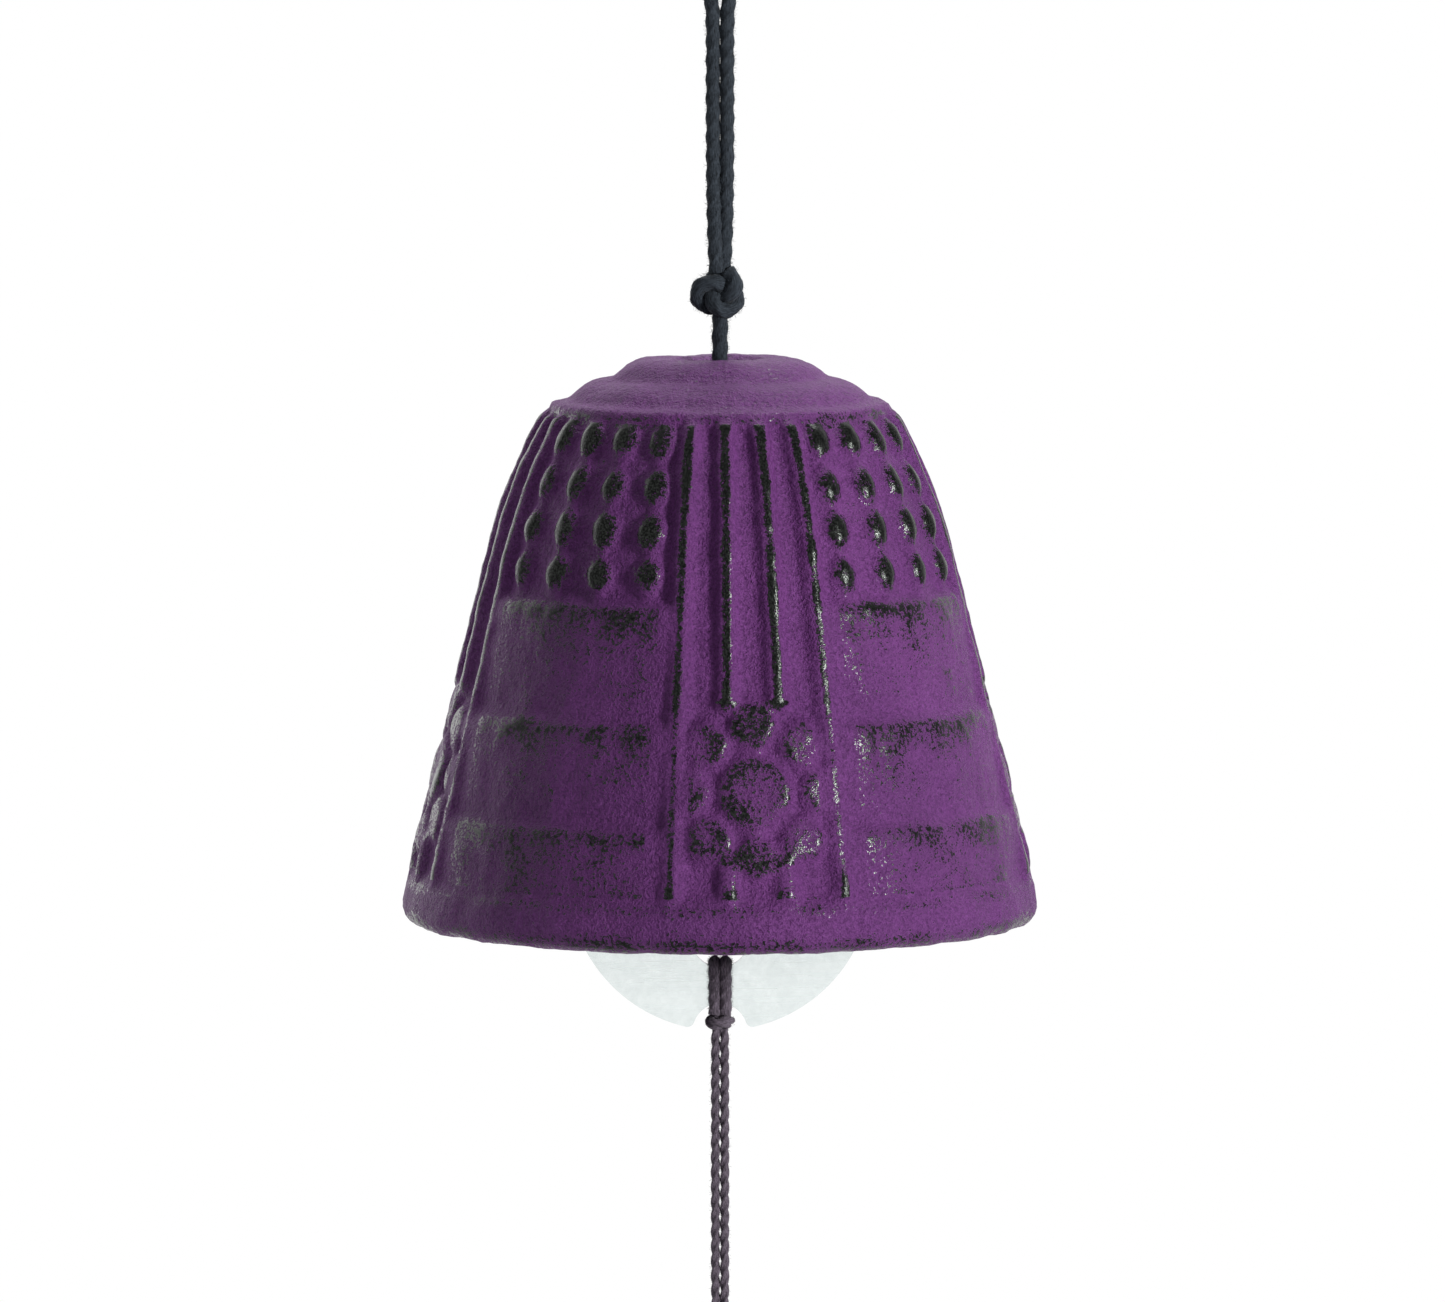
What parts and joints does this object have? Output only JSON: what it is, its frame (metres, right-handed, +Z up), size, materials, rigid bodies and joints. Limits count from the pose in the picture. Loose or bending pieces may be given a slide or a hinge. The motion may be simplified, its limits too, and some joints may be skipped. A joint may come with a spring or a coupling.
{
  "type": "wind bell",
  "caption": "Cast-iron wind bell in temple-bell shape on a knotted hanging cord, with a sheet-metal clapper disc inside and a paper strip below that catches the wind.",
  "frame": {"origin": "where the hanging loop rests on its hook", "axes": "+Z up along the cord, +X to the right and +Y away from the viewer, who faces the clapper disc"},
  "size_m": [0.07, 0.07, 0.3001],
  "materials": {
    "bell_iron": "matt purple paint, rubbed back to dark iron on the high spots",
    "hanging_cord": "twisted dark blue-black cord",
    "clapper_metal": "pale satin sheet",
    "strip_cord": "thin purple-grey twine",
    "strip_paper": "plain fibrous paper"
  },
  "bodies": {
    "hanging_loop": {"hanging_loop": "hanging_cord"},
    "hanging_knot": {"hanging_knot": "hanging_cord"},
    "crown_cord": {"crown_cord": "hanging_cord"},
    "bell": {"bell": "bell_iron"},
    "stopper_knot": {"stopper_knot": "hanging_cord"},
    "clapper_cord": {"clapper_cord": "hanging_cord"},
    "clapper": {"clapper_disc": "clapper_metal", "clapper_tie": "hanging_cord", "strip_hitch": "strip_cord"},
    "hitch_bight": {"hitch_bight": "strip_cord"},
    "strip_cord": {"strip_cord": "strip_cord"},
    "strip_tie": {"strip_tie": "strip_cord"},
    "wind_strip": {"wind_strip": "strip_paper"}
  },
  "joints": [
    {"name": "bell_swing_fore_aft", "type": "hinge", "parent": "hanging_loop", "child": "hanging_knot", "pos_m": [0, 0, -0.0428], "axis": [1, 0, 0], "range_deg": [-35, 35]},
    {"name": "bell_swing_side", "type": "hinge", "parent": "hanging_knot", "child": "crown_cord", "pos_m": [0, 0, -0.0428], "axis": [0, 1, 0], "range_deg": [-35, 35]},
    {"name": "bell_turn", "type": "hinge", "parent": "crown_cord", "child": "bell", "pos_m": [0, 0, -0.05761], "axis": [0, 0, 1], "continuous": true},
    {"name": "clapper_turn", "type": "hinge", "parent": "crown_cord", "child": "stopper_knot", "pos_m": [0, 0, -0.05761], "axis": [0, 0, 1], "continuous": true},
    {"name": "clapper_swing", "type": "hinge", "parent": "stopper_knot", "child": "clapper_cord", "pos_m": [0, 0, -0.05761], "axis": [0, 1, 0], "range_deg": [-14, 14]},
    {"name": "clapper_tilt", "type": "hinge", "parent": "clapper_cord", "child": "clapper", "pos_m": [0, 0, -0.0887], "axis": [1, 0, 0], "range_deg": [-15, 15]},
    {"name": "strip_swing_fore_aft", "type": "hinge", "parent": "clapper", "child": "hitch_bight", "pos_m": [0, 0, -0.1233], "axis": [1, 0, 0], "range_deg": [-30, 30]},
    {"name": "strip_swing_side", "type": "hinge", "parent": "hitch_bight", "child": "strip_cord", "pos_m": [0, 0, -0.1233], "axis": [0, 1, 0], "range_deg": [-30, 30]},
    {"name": "strip_turn", "type": "hinge", "parent": "strip_cord", "child": "strip_tie", "pos_m": [0, 0, -0.15987], "axis": [0, 0, 1], "range_deg": [-180, 180]},
    {"name": "strip_sway", "type": "hinge", "parent": "strip_tie", "child": "wind_strip", "pos_m": [0, 0, -0.17035], "axis": [0, 1, 0], "range_deg": [-25, 25]}
  ]
}
